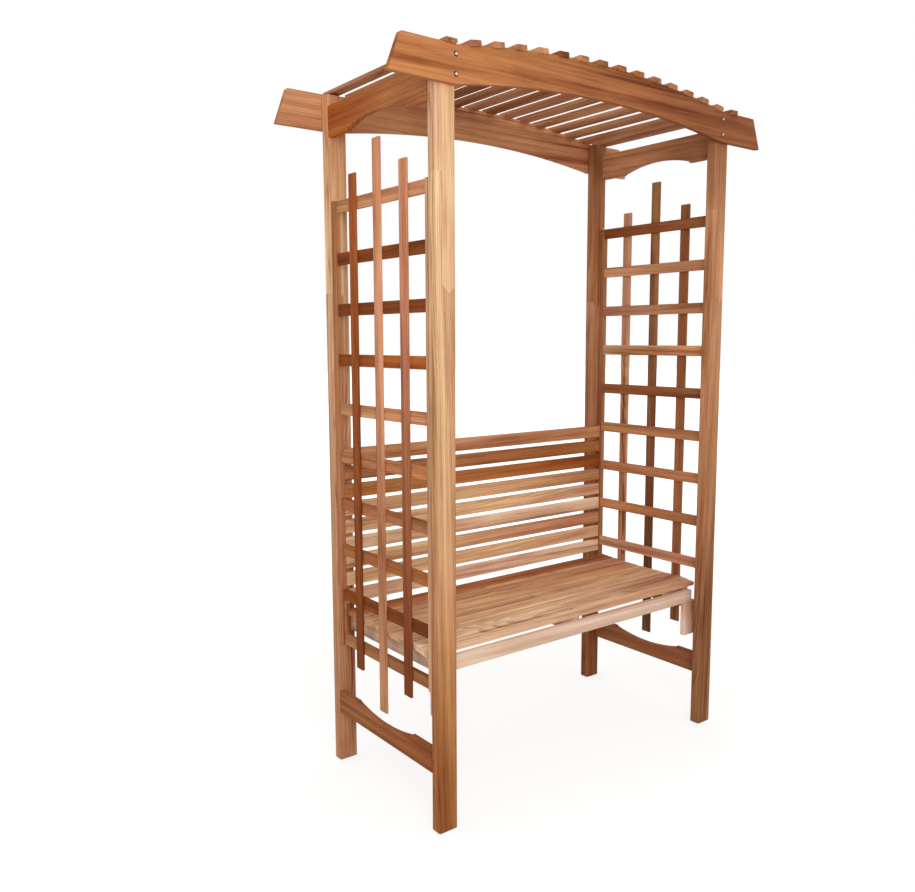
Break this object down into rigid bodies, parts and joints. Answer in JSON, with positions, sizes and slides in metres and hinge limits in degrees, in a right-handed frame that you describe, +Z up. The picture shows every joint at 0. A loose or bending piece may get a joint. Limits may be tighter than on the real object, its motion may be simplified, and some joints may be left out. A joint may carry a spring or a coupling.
{
  "type": "arbour seat",
  "caption": "Slatted garden bench between two trellis sides, under a gently arched roof of tilted slats on posts.",
  "frame": {"origin": "centre of the footprint of the whole seat, on the ground", "axes": "+X to the right along the bench, +Y to the back, +Z up"},
  "size_m": [1.5248, 0.635, 2.1844],
  "materials": {
    "cedar_frame": "planed cedar, clear oil",
    "cedar_roof": "planed cedar, clear oil",
    "cedar_trellis": "planed cedar, clear oil",
    "cedar_bench": "planed cedar, clear oil",
    "zinc_screws": "zinc plated"
  },
  "bodies": {
    "root": {"front_left_post_lower": "cedar_frame", "front_left_post_upper": "cedar_frame", "rear_left_post_lower": "cedar_frame", "rear_left_post_upper": "cedar_frame", "front_right_post_lower": "cedar_frame", "front_right_post_upper": "cedar_frame", "rear_right_post_lower": "cedar_frame", "rear_right_post_upper": "cedar_frame", "front_roof_beam": "cedar_roof", "rear_roof_beam": "cedar_roof", "roof_slat_01": "cedar_roof", "roof_slat_02": "cedar_roof", "roof_slat_03": "cedar_roof", "roof_slat_04": "cedar_roof", "roof_slat_05": "cedar_roof", "roof_slat_06": "cedar_roof", "roof_slat_07": "cedar_roof", "roof_slat_08": "cedar_roof", "roof_slat_09": "cedar_roof", "roof_slat_10": "cedar_roof", "roof_slat_11": "cedar_roof", "roof_slat_12": "cedar_roof", "roof_slat_13": "cedar_roof", "roof_slat_14": "cedar_roof", "roof_slat_15": "cedar_roof", "roof_slat_16": "cedar_roof", "left_upper_rail": "cedar_frame", "left_lower_rail": "cedar_frame", "left_front_stile": "cedar_trellis", "left_rear_stile": "cedar_trellis", "left_trellis_lattice": "cedar_trellis", "right_upper_rail": "cedar_frame", "right_lower_rail": "cedar_frame", "right_front_stile": "cedar_trellis", "right_rear_stile": "cedar_trellis", "right_trellis_lattice": "cedar_trellis", "back_slat_1": "cedar_bench", "back_slat_2": "cedar_bench", "back_slat_3": "cedar_bench", "back_slat_4": "cedar_bench", "back_slat_5": "cedar_bench", "back_slat_6": "cedar_bench", "back_slat_7": "cedar_bench", "back_slat_8": "cedar_bench", "back_slat_9": "cedar_bench", "seat_slat_1": "cedar_bench", "seat_slat_2": "cedar_bench", "seat_slat_3": "cedar_bench", "seat_slat_4": "cedar_bench", "seat_slat_5": "cedar_bench", "seat_slat_6": "cedar_bench", "seat_slat_7": "cedar_bench", "seat_front_apron": "cedar_bench", "seat_rear_apron": "cedar_bench", "seat_left_bearer": "cedar_bench", "seat_centre_bearer": "cedar_bench", "seat_right_bearer": "cedar_bench", "seat_left_cleat": "cedar_bench", "seat_right_cleat": "cedar_bench", "beam_screws": "zinc_screws"}
  },
  "joints": []
}
